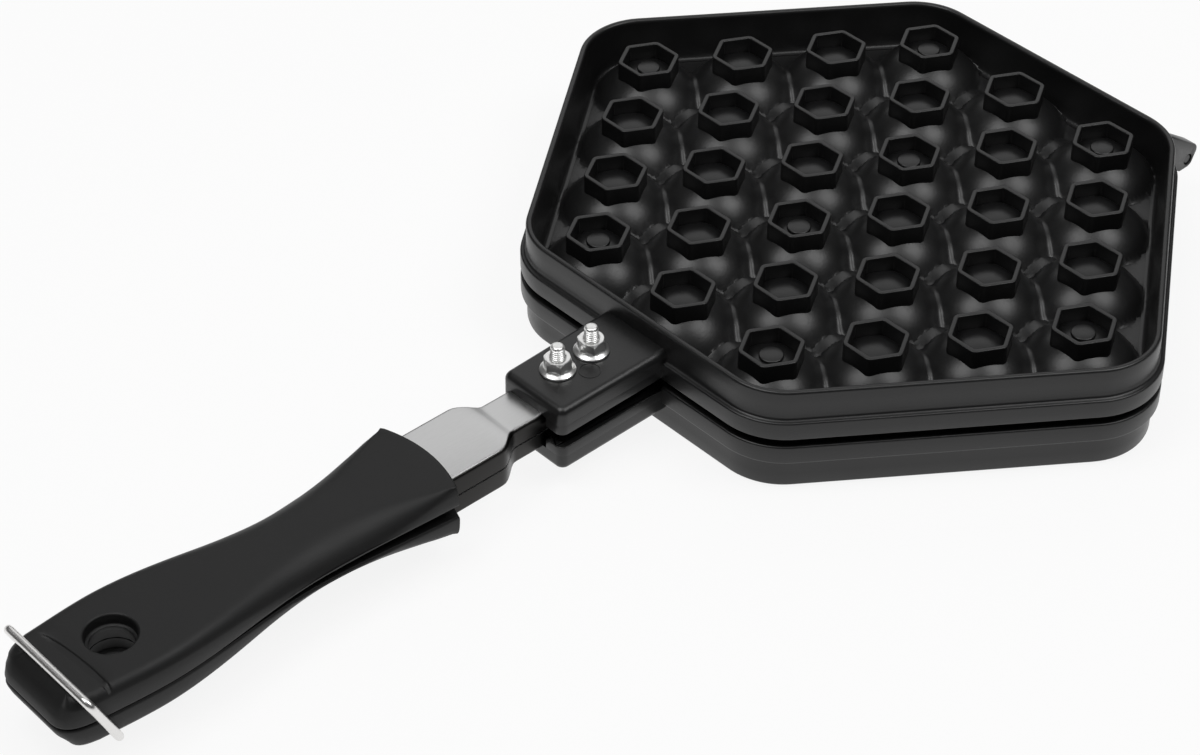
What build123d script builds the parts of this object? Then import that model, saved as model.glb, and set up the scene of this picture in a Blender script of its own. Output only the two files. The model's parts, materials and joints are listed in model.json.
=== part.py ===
from build123d import *
import os
from math import asin, atan2, degrees, hypot, sqrt

# Egg waffle pan: two hexagonal cast halves, hinged at the far edge, each with a folded steel
# neck and a moulded grip, held shut by a wire ring over the grip ends.
# Millimetres. +X runs from the handle to the hinge, +Z is up. The origin is the middle of the
# pan on the plane that its lower rim stands on. Both halves are described by heights above
# the parting plane, and the lower half is the mirror of the upper.

# ---- cells ----
cell_pitch = 34.0               # between cells of a row, along Y
row_pitch = 22.75               # between rows, along X
rows_each_side = 3
middle_row_cells = 6            # each row further out has one fewer
dome_radius = 18.5
dome_centre = -6.3              # height of the dome's centre, below the parting plane
cell_wall = 3.2
ring_corner = 8.75              # from a cell's axis to a corner of its foot ring, mid-wall
ring_wall = 1.4
ring_root = 7.5                 # height where the foot ring starts inside the dome's wall
ejector_radius = 3.4
ejector_top = 12.7
diagonal_web = 0.6              # half width of the flat web between diagonal neighbours
row_web = 1.8                   # half width of the flat web between neighbours of a row
web_root = 0.5                  # how far a web reaches into the domes beside it

# ---- casting heights above the parting plane ----
rim_height = 16.4
ring_height = 15.6
floor_height = 2.6
face_height = 0.6               # inner face around the cells
lip_height = 0.15               # sealing lip, which leaves twice this between the halves
flange_low = 1.2
flange_high = 7.1

# ---- casting outline ----
margin_x = 17.85                # from the outer row's axes to the rim
margin_diagonal = 20.9          # from the outer diagonal's axes to the rim
corner_radius = 20.0
rim_wall = 3.0
flange_out = 1.7
lip_inset = 3.0
lip_width = 3.0

# ---- tab that holds the neck ----
tab_length = 37.4               # beyond the rim
tab_half_width = 12.4
tab_low = 5.3
tab_high = 10.6
tab_corner = 2.5
tab_edge = 1.2
tab_relief = 3.3                # flange cut back on each side of the tab

# ---- handle set: necks, grips, bolts, nuts and ring ----
handle_turn = 1.4               # degrees out of line, the grips' ends towards +Y
turn_at = 30.0                  # from the pan's middle to where the turned line starts

# ---- steel neck ----
neck_half_width = 7.0
neck_wide = 11.4
tang_half_width = 7.5
neck_top = 5.8
neck_wide_top = 6.5
neck_foot = 0.3
sheet = 1.2
neck_gap = 6.0                  # from the rim to the neck's end, under the tab
neck_narrow_length = 42.5
neck_flare = 6.3
neck_wide_length = 25.0
tang_shoulder = 5.0
tang_length = 54.0
seat_clearance = 0.2
key_radius = 2.5
key_inset = 14.0                # from the tang's end to the plug moulded through it

# ---- bolts and nuts ----
bolt_radius = 2.0
bolt_hole_clearance = 0.15
bolt_head_flats = 7.0
bolt_head_height = 2.8
bolt_spacing = 12.0
bolt_edge = 10.6                # from the tab's front edge to the first bolt
bolt_chamfer = 0.5
nut_flats = 7.0
nut_height = 4.65
nut_flange_radius = 5.0
nut_flange = 1.2
thread_clearance = 0.03
upper_bolt_stand = 4.0          # bolt end beyond the nut
lower_bolt_stand = 0.6

# ---- hinge ----
hinge_reach = 10.0              # from the rim to the pin's axis
pin_radius = 1.65
pin_clearance = 0.05
ear_radius = 2.9
ear_top = 13.2                  # where the ear's sloping back leaves the rim
knee_radius = 2.4               # rounded end of the slope, beyond the pin
knee_out = 1.5
knee_rise = 2.2
heel_radius = 1.0               # rounded end of the level underside, before the pin
heel_in = 3.0
ear_width = 5.0
knuckle_width = 7.0
hinge_side_gap = 0.3
hinge_outer = 45.1              # outer face of the outermost ear, along Y
pin_inset = 0.4

# ---- grips ----
grip_front_inset = 11.0         # how far the neck's wide part goes into the grip
grip_length = 128.1
grip_front_bulge = 6.0
front_half_width = 16.3         # the widths are those on the parting plane
waist_half_width = 13.3
belly_half_width = 17.0
tail_half_width = 15.7
grip_draft = 0.8                # how much narrower each side is where its bevel starts
grip_bevel = 2.1                # depth of the bevel, which slopes at 45 degrees, below the level top
waist_at = 50.0                 # from the grip's front
belly_inset = 28.1              # this and the next from the grip's end
tail_inset = 9.1
grip_height = 8.1
front_height = 8.4
waist_height = 7.6
gap_front = 1.9                 # half the gap between the grips at the front
gap_end = 0.15
gap_closes_inset = 44.1         # from the end, where the gap has closed
tail_corner = 6.0
tail_taper = 2.0                # how much narrower the very end is
hole_inset = 24.7
hole_radius = 6.7
groove_inset = 13.8

# ---- lock ring ----
wire_radius = 1.2
ring_half_width = 18.9
ring_bend = 2.2
ring_lean = 7.5                 # top bar behind the bottom bar
seat_depth = 0.7                # bottom bar's axis inside the grip's outer face
swing_clearance = 0.4
wire_clearance = 0.1

# ---- derived places ----
mid = rim_height
rim_x = rows_each_side * row_pitch + margin_x
diagonal = hypot(row_pitch, cell_pitch / 2)
normal_x = cell_pitch / 2 / diagonal
normal_y = row_pitch / diagonal
outer_row_y = (middle_row_cells - rows_each_side - 1) * cell_pitch / 2
rim_diagonal = rows_each_side * row_pitch * normal_x + outer_row_y * normal_y + margin_diagonal
side_corner_y = (rim_diagonal - rim_x * normal_x) / normal_y
top_corner_y = rim_diagonal / normal_y
rim_corners = [
    (rim_x, -side_corner_y),
    (rim_x, side_corner_y),
    (0, top_corner_y),
    (-rim_x, side_corner_y),
    (-rim_x, -side_corner_y),
    (0, -top_corner_y),
]
dome_plane = mid + dome_centre

tab_front = -rim_x - tab_length
neck_start = -rim_x - neck_gap
flare_start = neck_start - neck_narrow_length
wide_start = flare_start - neck_flare
wide_end = wide_start - neck_wide_length
tang_start = wide_end - tang_shoulder
tang_end = tang_start - tang_length
key_x = tang_end + key_inset
bolt_places = [tab_front + bolt_edge, tab_front + bolt_edge + bolt_spacing]

hinge_x = rim_x + hinge_reach
grip_front = wide_end + grip_front_inset
grip_end = grip_front - grip_length
pivot_x = grip_end + groove_inset
pivot_height = grip_height - seat_depth
ring_rise = 2 * grip_height - seat_depth + wire_radius + wire_clearance
ring_length = hypot(ring_lean, ring_rise)
nose_radius = ring_length - wire_radius - swing_clearance
out_of_line = Location((-turn_at, 0, 0)) * Rotation(0, 0, -handle_turn) * Location((turn_at, 0, 0))


def row_cells(row):
    """Centres of one row's cells."""
    count = middle_row_cells - abs(row)
    first = -(count - 1) / 2 * cell_pitch
    return [(row * row_pitch, first + i * cell_pitch) for i in range(count)]


cells = [cell for row in range(-rows_each_side, rows_each_side + 1) for cell in row_cells(row)]
last_row = rows_each_side
ejector_cells = [cell for row in (-last_row, last_row) for cell in (row_cells(row)[0], row_cells(row)[-1])]
ejector_cells += [row_cells(0)[0], row_cells(0)[-1]]
ejector_cells += [row_cells(row)[len(row_cells(row)) // 2] for row in (-1, 1)]


def neighbours(spacing):
    """Pairs of cells that lie one spacing apart."""
    found = []
    for i, a in enumerate(cells):
        for b in cells[i + 1:]:
            if abs(hypot(b[0] - a[0], b[1] - a[1]) - spacing) < 0.1:
                found.append((a, b))
    return found


def web_planes(spacing):
    """Planes midway between neighbours, facing along the line that joins them."""
    planes = []
    for a, b in neighbours(spacing):
        centre = ((a[0] + b[0]) / 2, (a[1] + b[1]) / 2, dome_plane)
        planes.append(Plane(origin=centre, z_dir=(b[0] - a[0], b[1] - a[1], 0)))
    return planes


def web_radius(spacing, half_width):
    """Radius of the flat web that ends where the two domes are half_width from the middle."""
    return sqrt(dome_radius ** 2 - (spacing / 2 - half_width) ** 2)


def rim_outline(height, grow=0.0):
    """Rounded hexagon of the rim's outside, grown or shrunk, at a height above the parting plane."""
    with BuildSketch(Plane.XY.offset(mid + height)) as outline:
        Polygon(*rim_corners, align=None)
        fillet(outline.vertices(), corner_radius)
        if grow != 0.0:
            offset(amount=grow)
    return outline.sketch


# ---- one cell: spherical cap with its hexagonal foot ring ----
cap_angle = degrees(asin((face_height - dome_centre) / dome_radius))
with BuildPart() as cap:
    Sphere(dome_radius, arc_size1=cap_angle, align=None)

with BuildPart() as foot_ring:
    with BuildSketch(Plane.XY.offset(ring_root - dome_centre)):
        RegularPolygon(ring_corner, 6, rotation=30)
        offset(amount=ring_wall / 2, kind=Kind.INTERSECTION)
        offset(amount=-ring_wall, kind=Kind.INTERSECTION, mode=Mode.SUBTRACT)
    extrude(amount=ring_height - ring_root)

# ---- field of domes with their webs ----
with BuildPart() as dome_field:
    with Locations(*[(x, y, dome_plane) for x, y in cells]):
        add(cap.part)
    with Locations(*web_planes(diagonal)):
        Cylinder(web_radius(diagonal, diagonal_web), 2 * (diagonal_web + web_root))
    with Locations(*web_planes(cell_pitch)):
        Cylinder(web_radius(cell_pitch, row_web), 2 * (row_web + web_root))
    split(bisect_by=Plane.XY.offset(mid + face_height), keep=Keep.TOP)

# ---- casting without its hinge, upper half ----
with BuildPart() as casting:
    extrude(rim_outline(flange_low), amount=rim_height - flange_low)
    extrude(rim_outline(flange_low, flange_out), amount=flange_high - flange_low)
    with Locations((-rim_x - tab_length / 2, 0, mid)):
        Box(tab_length, 2 * (tab_half_width + tab_relief), 4 * rim_height, mode=Mode.SUBTRACT)
    extrude(rim_outline(lip_height, -lip_inset), amount=floor_height - lip_height)
    extrude(rim_outline(floor_height, -rim_wall), amount=rim_height, mode=Mode.SUBTRACT)
    extrude(
        rim_outline(lip_height, -lip_inset - lip_width),
        amount=face_height - lip_height,
        mode=Mode.SUBTRACT,
    )
    add(dome_field.part)
    with Locations(*[(x, y, dome_plane) for x, y in cells]):
        add(foot_ring.part)
    with Locations(*[(x, y, mid + ring_root) for x, y in ejector_cells]):
        Cylinder(ejector_radius, ejector_top - ring_root, align=(Align.CENTER, Align.CENTER, Align.MIN))
    with Locations(*[(x, y, dome_plane) for x, y in cells]):
        Sphere(dome_radius - cell_wall, mode=Mode.SUBTRACT)

# ---- seat for the neck and bolt holes, cut from the tab along the handle's line ----
with BuildPart() as straight_cutter:
    with BuildSketch(Plane.XY.offset(mid)):
        with Locations((neck_start - tab_length / 2, 0)):
            Rectangle(tab_length, 2 * (neck_half_width + seat_clearance))
    extrude(amount=neck_top)
    with Locations(*[(x, 0, mid + tab_low) for x in bolt_places]):
        Cylinder(bolt_radius + bolt_hole_clearance, 4 * tab_high)

with BuildPart() as tab_cutter:
    with Locations(out_of_line):
        add(straight_cutter.part)

# ---- tab ----
with BuildPart() as tab:
    with BuildSketch(Plane.XY.offset(mid + tab_low)) as tab_plan:
        with Locations((-rim_x - tab_length / 2 + rim_wall / 2, 0)):
            Rectangle(tab_length + rim_wall, 2 * tab_half_width)
        fillet(tab_plan.vertices().group_by(Axis.X)[0], tab_corner)
    extrude(amount=tab_high - tab_low)
    top_edges = tab.faces().sort_by(Axis.Z)[-1].edges()
    fillet(top_edges.filter_by_position(Axis.X, tab_front - 1, -rim_x, inclusive=(True, True)), tab_edge)
    add(tab_cutter.part, mode=Mode.SUBTRACT)


# ---- hinge ears and knuckles: a web that slopes down from the rim and rounds about the pin ----
def hinge_ear(width):
    """One ear for the upper half, centred on the middle of its width."""
    with BuildPart() as ear:
        with BuildSketch(Plane.XZ.offset(-width / 2)):
            with Locations((hinge_x, mid)):
                Circle(ear_radius)
            with Locations((hinge_x + knee_out, mid + knee_rise)):
                Circle(knee_radius)
            with Locations((hinge_x - heel_in, mid + heel_radius - ear_radius)):
                Circle(heel_radius)
            with Locations((rim_x - rim_wall / 2, mid + (ear_top + flange_low) / 2)):
                Rectangle(rim_wall / 2, ear_top - flange_low)
            make_hull()
        extrude(amount=width)
    return ear.part


def hinged(blank, width, places):
    """A casting with its tab, its hinge ears and the bore for the pins."""
    with BuildPart() as half:
        add(blank)
        add(tab.part)
        with Locations(*[(0, y, 0) for y in places]):
            add(hinge_ear(width))
        with Locations(Location((hinge_x, 0, mid), (90, 0, 0))):
            Cylinder(pin_radius + pin_clearance, 4 * hinge_outer, mode=Mode.SUBTRACT)
    return half.part


knuckle_y = hinge_outer - ear_width - hinge_side_gap - knuckle_width / 2
ear_step = ear_width / 2 + hinge_side_gap + knuckle_width / 2
ear_places = [side * (knuckle_y + step) for side in (-1, 1) for step in (-ear_step, ear_step)]
knuckle_places = [-knuckle_y, knuckle_y]
parting = Plane.XY.offset(mid)

with BuildPart() as upper_pan:
    add(hinged(casting.part, ear_width, ear_places))
upper_pan.part.label = "upper_pan"

with BuildPart() as lower_pan:
    mirror(hinged(casting.part, knuckle_width, knuckle_places), about=parting)
lower_pan.part.label = "lower_pan"

# ---- hinge pins ----
pin_length = 2 * (ear_width + hinge_side_gap - pin_inset) + knuckle_width


def hinge_pin(y):
    """A pin through one hinge, centred at y."""
    with BuildPart() as pin:
        with Locations(Location((hinge_x, y, mid), (90, 0, 0))):
            Cylinder(pin_radius, pin_length)
        chamfer(pin.edges().filter_by(GeomType.CIRCLE), pin_inset)
    return pin.part


with BuildPart() as hinge_pin_left:
    add(hinge_pin(knuckle_y))
hinge_pin_left.part.label = "hinge_pin_left"

with BuildPart() as hinge_pin_right:
    add(hinge_pin(-knuckle_y))
hinge_pin_right.part.label = "hinge_pin_right"


# ---- steel neck ----
def neck_plan(inset, reach):
    """Outline of the neck seen from above, shrunk by an inset, its ends moved out by a reach."""
    half = [
        (neck_start + reach, neck_half_width - inset),
        (flare_start, neck_half_width - inset),
        (wide_start, neck_wide - inset),
        (wide_end, neck_wide - inset),
        (tang_start, tang_half_width - inset),
        (tang_end - reach, tang_half_width - inset),
    ]
    other = [(x, -y) for x, y in reversed(half)]
    with BuildSketch(Plane.XY.offset(mid)) as plan:
        Polygon(*half, *other, align=None)
        fillet(plan.vertices().filter_by_position(Axis.X, wide_end - 1, flare_start + 1), neck_flare / 2)
    return plan.sketch


def neck_side(foot, inset, reach):
    """Outline of the neck seen from the side, with the step up to its wide part."""
    with BuildSketch(Plane.XZ) as side:
        Polygon(
            (neck_start + reach, mid + foot),
            (neck_start + reach, mid + neck_top - inset),
            (flare_start, mid + neck_top - inset),
            (wide_start, mid + neck_wide_top - inset),
            (tang_end - reach, mid + neck_wide_top - inset),
            (tang_end - reach, mid + foot),
            align=None,
        )
    return side.sketch


def neck_form(inset, reach, foot, drop):
    """Solid shape of the neck, shrunk by an inset at its sides and by a drop at its top."""
    with BuildPart() as form:
        extrude(neck_plan(inset, reach), amount=2 * neck_wide_top)
        extrude(neck_side(foot, drop, reach), amount=2 * neck_wide, both=True, mode=Mode.INTERSECT)
    return form.part


with BuildPart() as straight_neck:
    add(neck_form(0, 0, neck_foot, 0))
    add(neck_form(sheet, sheet, 0, sheet), mode=Mode.SUBTRACT)
    with Locations(*[(x, 0, mid) for x in bolt_places]):
        Cylinder(bolt_radius + bolt_hole_clearance, 4 * neck_wide_top, mode=Mode.SUBTRACT)
    with Locations((key_x, 0, mid)):
        Cylinder(key_radius, 4 * neck_wide_top, mode=Mode.SUBTRACT)

with BuildPart() as upper_neck:
    with Locations(out_of_line):
        add(straight_neck.part)
upper_neck.part.label = "upper_neck"

with BuildPart() as lower_neck:
    mirror(upper_neck.part, about=parting)
lower_neck.part.label = "lower_neck"


# ---- grips ----
def grip_plan(height, narrower):
    """Waisted outline of a grip at a height above the parting plane, each side narrower by an amount."""
    shoulder = (grip_front - grip_front_bulge, front_half_width - narrower)
    side = [
        shoulder,
        (grip_front - waist_at, waist_half_width - narrower),
        (grip_end + belly_inset, belly_half_width - narrower),
        (grip_end + tail_inset, tail_half_width - narrower),
    ]
    crown = [(grip_front - grip_front_bulge / 4, shoulder[1] / 2), (grip_front, 0)]
    corner = (grip_end, tail_half_width - tail_taper - narrower)
    with BuildSketch(Plane.XY.offset(mid + height)) as plan:
        with BuildLine():
            Spline(*side)
            Polyline(side[-1], corner, (grip_end, 0), crown[-1])
            ThreePointArc(shoulder, *crown)
        make_face()
        mirror(about=Plane.XZ)
        fillet(plan.vertices().group_by(Axis.X)[0], tail_corner)
    return plan.sketch


def nose_x(height):
    """Where the ring's swing lets the nose reach at a height above the parting plane."""
    return pivot_x - sqrt(nose_radius ** 2 - (height + pivot_height) ** 2)


def lifted(x, height):
    """A point of a side outline, with its height counted from the parting plane."""
    return (x, mid + height)


def grip_side():
    """Outline of a grip seen from the side: level top, round nose, gap that closes to the end."""
    half_height = grip_height / 2
    nose_top = lifted(nose_x(grip_height), grip_height)
    nose_low = lifted(nose_x(gap_end), gap_end)
    level = lifted(grip_end + belly_inset, grip_height)
    front = lifted(grip_front, front_height)
    with BuildSketch(Plane.XZ) as side:
        with BuildLine():
            Spline(front, lifted(grip_front - waist_at, waist_height), level, tangents=[(-1, -0.02), (-1, 0)])
            Line(level, nose_top)
            ThreePointArc(nose_top, lifted(nose_x(half_height), half_height), nose_low)
            Line(nose_low, lifted(grip_end + gap_closes_inset, gap_end))
            Line(lifted(grip_end + gap_closes_inset, gap_end), lifted(grip_front, gap_front))
            Line(lifted(grip_front, gap_front), front)
        make_face()
    return side.sketch


with BuildPart() as grip_blank:
    loft(
        [
            grip_plan(0, 0),
            grip_plan(grip_height - grip_bevel, grip_draft),
            grip_plan(grip_height + grip_bevel, grip_draft + 2 * grip_bevel),
        ],
        ruled=True,
    )
    extrude(grip_side(), amount=2 * belly_half_width, both=True, mode=Mode.INTERSECT)
    with Locations((grip_end + hole_inset, 0, mid)):
        Cylinder(hole_radius, 4 * grip_height, mode=Mode.SUBTRACT)
    with Locations(Location((pivot_x, 0, mid + pivot_height), (90, 0, 0))):
        Cylinder(wire_radius + wire_clearance, 4 * belly_half_width, mode=Mode.SUBTRACT)

# core that fills the steel channel and joins the grip beyond its end
core_inset = sheet + seat_clearance
with BuildPart() as grip_core:
    add(neck_form(core_inset, 2 * core_inset, 0, core_inset))
    extrude(grip_side(), amount=2 * belly_half_width, both=True, mode=Mode.INTERSECT)

with BuildPart() as straight_grip:
    add(grip_blank.part)
    add(neck_form(-seat_clearance, seat_clearance, -grip_height, 0), mode=Mode.SUBTRACT)
    add(grip_core.part)
    with Locations((key_x, 0, mid + neck_top - sheet)):
        Cylinder(
            key_radius - seat_clearance,
            neck_wide_top - neck_top + 2 * sheet,
            align=(Align.CENTER, Align.CENTER, Align.MIN),
        )

with BuildPart() as upper_grip:
    with Locations(out_of_line):
        add(straight_grip.part)
upper_grip.part.label = "upper_grip"

with BuildPart() as lower_grip:
    mirror(upper_grip.part, about=parting)
lower_grip.part.label = "lower_grip"


# ---- bolts and nuts: the lower bolts are short, so that the pan stands on its rim ----
def bolt(x, stand):
    """An upper bolt, its hexagonal head inside the neck and its end a stand beyond the nut."""
    head_top = neck_top - sheet
    end = tab_high + nut_height + stand
    with BuildPart() as screw:
        with Locations((x, 0, mid + head_top)):
            Cylinder(bolt_radius, end - head_top, align=(Align.CENTER, Align.CENTER, Align.MIN))
        chamfer(screw.faces().sort_by(Axis.Z)[-1].edges(), bolt_chamfer)
        with BuildSketch(Plane.XY.offset(mid + head_top - bolt_head_height)):
            with Locations((x, 0)):
                RegularPolygon(bolt_head_flats / 2, 6, major_radius=False)
        extrude(amount=bolt_head_height)
    return screw.part


def nut(x):
    """A hexagonal flange nut on the tab's outer face."""
    with BuildPart() as body:
        with Locations((x, 0, mid + tab_high)):
            Cylinder(nut_flange_radius, nut_flange, align=(Align.CENTER, Align.CENTER, Align.MIN))
        chamfer(body.faces().sort_by(Axis.Z)[-1].edges(), nut_flange / 2)
        with BuildSketch(Plane.XY.offset(mid + tab_high)):
            with Locations((x, 0)):
                RegularPolygon(nut_flats / 2, 6, major_radius=False)
        extrude(amount=nut_height)
        with Locations((x, 0, mid + tab_high)):
            Cylinder(bolt_radius + thread_clearance, 4 * nut_height, mode=Mode.SUBTRACT)
    return body.part


fasteners = []
for place, x in zip(("rear", "front"), reversed(bolt_places)):
    upper_bolt = bolt(x, upper_bolt_stand).moved(out_of_line)
    lower_bolt = bolt(x, lower_bolt_stand).moved(out_of_line)
    turned_nut = nut(x).moved(out_of_line)
    fasteners.append(("upper_bolt_" + place, upper_bolt))
    fasteners.append(("upper_nut_" + place, turned_nut))
    fasteners.append(("lower_bolt_" + place, lower_bolt.mirror(parting)))
    fasteners.append(("lower_nut_" + place, turned_nut.mirror(parting)))

# ---- lock ring: closed wire loop, its bottom bar snapped into the lower grip's groove ----
pivot = Vector(pivot_x, 0, mid - pivot_height)
ring_up = Vector(-ring_lean, 0, ring_rise).normalized()
across = Vector(0, 1, 0)
ring_plane = Plane(origin=pivot + ring_up * (ring_length / 2), x_dir=across, z_dir=across.cross(ring_up))
with BuildSketch(ring_plane) as ring_loop:
    RectangleRounded(2 * (ring_half_width - wire_radius), ring_length, ring_bend)
ring_path = ring_loop.sketch.faces()[0].outer_wire()
with BuildPart() as straight_ring:
    with BuildSketch(Plane(origin=ring_path @ 0, z_dir=ring_path % 0)):
        Circle(wire_radius)
    sweep(path=ring_path)

with BuildPart() as lock_ring:
    with Locations(out_of_line):
        add(straight_ring.part)
lock_ring.part.label = "lock_ring"

# ---- export ----
os.makedirs("parts", exist_ok=True)
for name, piece in fasteners:
    piece.label = name
    export_step(piece, "parts/" + name + ".step")
export_step(lower_pan.part, "parts/lower_pan.step")
export_step(upper_pan.part, "parts/upper_pan.step")
export_step(lower_neck.part, "parts/lower_neck.step")
export_step(upper_neck.part, "parts/upper_neck.step")
export_step(lower_grip.part, "parts/lower_grip.step")
export_step(upper_grip.part, "parts/upper_grip.step")
export_step(hinge_pin_left.part, "parts/hinge_pin_left.step")
export_step(hinge_pin_right.part, "parts/hinge_pin_right.step")
export_step(lock_ring.part, "parts/lock_ring.step")
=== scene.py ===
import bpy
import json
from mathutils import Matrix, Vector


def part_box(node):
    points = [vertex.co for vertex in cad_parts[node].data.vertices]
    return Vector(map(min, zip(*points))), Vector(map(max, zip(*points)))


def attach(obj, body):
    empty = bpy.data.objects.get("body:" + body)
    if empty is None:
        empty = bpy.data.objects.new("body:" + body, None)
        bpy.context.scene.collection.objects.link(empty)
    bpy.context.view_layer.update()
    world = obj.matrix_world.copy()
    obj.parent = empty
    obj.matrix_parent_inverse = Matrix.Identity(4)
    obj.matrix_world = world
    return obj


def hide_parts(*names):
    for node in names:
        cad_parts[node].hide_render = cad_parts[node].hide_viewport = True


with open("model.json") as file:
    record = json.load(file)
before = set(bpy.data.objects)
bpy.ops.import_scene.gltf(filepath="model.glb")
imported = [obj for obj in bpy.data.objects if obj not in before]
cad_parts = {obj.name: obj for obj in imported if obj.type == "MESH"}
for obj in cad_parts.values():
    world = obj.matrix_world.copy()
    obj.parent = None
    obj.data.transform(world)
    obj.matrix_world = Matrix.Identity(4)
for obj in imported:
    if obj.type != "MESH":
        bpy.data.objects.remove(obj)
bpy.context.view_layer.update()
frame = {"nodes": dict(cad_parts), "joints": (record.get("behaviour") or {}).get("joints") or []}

import json
import math

import bmesh
import bpy
import numpy as np
from bpy.props import FloatProperty, FloatVectorProperty, PointerProperty
from mathutils import Matrix, Vector
from mathutils.geometry import delaunay_2d_cdt

bl_info = {
    "name": "Egg waffle pan",
    "version": (1, 0, 0),
    "blender": (4, 5, 0),
    "location": "View3D > Sidebar > Waffle pan",
    "description": "Two hinged castings with domed cells, steel necks, waisted grips and a wire lock ring",
    "category": "Object",
}

MM = 0.001


def middle(node):
    """The middle of a node's box seen from above, in millimetres."""
    low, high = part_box(node)
    return (low.x + high.x) / 2 / MM, (low.y + high.y) / 2 / MM


# heights are in millimetres above the parting plane between the halves, and mirrored for the lower half
PAN_LOW, PAN_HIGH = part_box("upper_pan")
TAB_X = PAN_LOW.x / MM
PARTING = PAN_HIGH.z / MM / 2
HINGE_X, HINGE_SIDE = middle("hinge_pin_left")
HINGE_Y = abs(HINGE_SIDE)
BOLTS = [middle("upper_bolt_" + end) for end in ("front", "rear")]
BOLT_TOPS = {
    "upper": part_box("upper_bolt_front")[1].z / MM - PARTING,
    "lower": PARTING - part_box("lower_bolt_front")[0].z / MM,
}
TAB_TOP, NUT_TOP = (corner.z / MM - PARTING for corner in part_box("upper_nut_front"))
# the handle set stands a little out of line: the ring's axis and pivot give the turn and its centre
SWING = next(joint for joint in frame["joints"] if joint["name"] == "ring_swing")
TURN = math.atan2(-SWING["axis"][0], -SWING["axis"][1])
REACH = SWING["pos_m"][1] / MM / math.sin(TURN)
TURN_AT = -REACH * math.cos(TURN) - SWING["pos_m"][0] / MM
PIVOT_X = -REACH - TURN_AT
PIVOT_DEPTH = PARTING - SWING["pos_m"][2] / MM


def length(name, value, description):
    return FloatProperty(
        name=name, description=description, default=value * MM, min=0.0, unit="LENGTH",
        subtype="DISTANCE", precision=4,
    )


def power(name, value, description):
    return FloatProperty(name=name, description=description, default=value, min=0.0, unit="POWER")


def colour(name, value, description):
    return FloatVectorProperty(
        name=name, description=description, default=value, min=0.0, max=1.0, size=3, subtype="COLOR"
    )


class CastingSizes(bpy.types.PropertyGroup):
    cell_pitch: length("Cell pitch", 34.0, "Between cells of one row")
    row_pitch: length("Row pitch", 22.75, "Between rows of cells")
    dome_radius: length("Dome radius", 18.5, "Radius of the domes over the cells")
    dome_depth: length("Dome centre depth", 6.3, "Depth of the domes' centres below the parting plane")
    shell: length("Shell", 3.2, "Wall between a dome and its cell")
    floor: length("Floor", 2.6, "Height of the floor between the domes")
    ring_corner: length("Foot ring corner", 8.75, "From a cell's axis to its foot ring's corner")
    ring_wall: length("Foot ring wall", 1.4, "Wall of a foot ring")
    ring_top: length("Foot ring top", 15.6, "Height of the foot rings")
    rim_x: length("Rim reach", 86.1, "From the middle to the rim beside the handle")
    rim_diagonal: length("Rim reach, diagonal", 89.0, "From the middle to the slanting sides of the rim")
    rim_corner: length("Rim corner", 20.0, "Radius of the rim's corners")


class HandleSizes(bpy.types.PropertyGroup):
    neck_width: length("Neck width", 14.0, "Width of the steel neck at the tab")
    neck_flare: length("Neck flare", 22.8, "Width of the steel neck at the grip")
    sheet: length("Sheet", 1.2, "Thickness of the neck's steel")
    grip_front: length("Grip front", 32.6, "Width of a grip at its front corners")
    grip_waist: length("Grip waist", 26.6, "Width of a grip at its waist")
    grip_belly: length("Grip belly", 34.0, "Width of a grip at its widest")
    grip_tail: length("Grip tail", 31.4, "Width of a grip where its tail starts to round")
    hole: length("Hanging hole", 13.4, "Width of the hanging hole")


class FinishColours(bpy.types.PropertyGroup):
    coating: colour("Coating", (0.0085, 0.0085, 0.0087), "Non-stick coating on the castings")
    moulding: colour("Grip moulding", (0.007, 0.007, 0.0071), "Moulded grips")
    steel: colour("Neck steel", (0.63, 0.63, 0.63), "Pressed steel necks")
    zinc: colour("Zinc plate", (0.90, 0.90, 0.89), "Nuts and bolts")
    wire: colour("Wire", (0.80, 0.79, 0.78), "Lock ring")


class StageSettings(bpy.types.PropertyGroup):
    floor: colour("Floor", (0.95, 0.95, 0.95), "Floor and backdrop")
    left: power("Left light", 5.0, "Power of the softbox at the left")
    right: power("Right light", 5.2, "Power of the softbox at the right")
    back: power("Backdrop", 4.6, "Power of the pale backdrop")
    top: power("Top light", 4.2, "Power of the panel overhead")
    world: FloatProperty(name="Room light", description="Strength of the room's light", default=0.08, min=0.0)


# ---------------------------------------------------------------- meshes

# the angles in degrees past which an edge is sharp
SMOOTH, NUT_SMOOTH, GRIP_SMOOTH, NECK_SMOOTH = 38.0, 24.0, 42.0, 50.0
WELD = 1e-4


def mm(value):
    """A stored length in millimetres."""
    return value / MM


def lifted(points, flip=1):
    """Points above the parting plane, placed in the part's frame; flip -1 mirrors them to the lower half."""
    out = np.array(points, float)
    out[:, 2] = PARTING + flip * out[:, 2]
    return out


def turned(points):
    """Points of the straight handle, turned out of line with it."""
    out = np.array(points, float)
    x, y = out[:, 0] + TURN_AT, out[:, 1].copy()
    out[:, 0] = x * math.cos(TURN) + y * math.sin(TURN) - TURN_AT
    out[:, 1] = y * math.cos(TURN) - x * math.sin(TURN)
    return out


def merged(*shells):
    """One shell of (points, faces) from several."""
    points, faces, start = [], [], 0
    for shell_points, shell_faces in shells:
        points.append(np.asarray(shell_points, float))
        faces += [[start + i for i in face] for face in shell_faces]
        start += len(shell_points)
    return np.concatenate(points), faces


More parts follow.
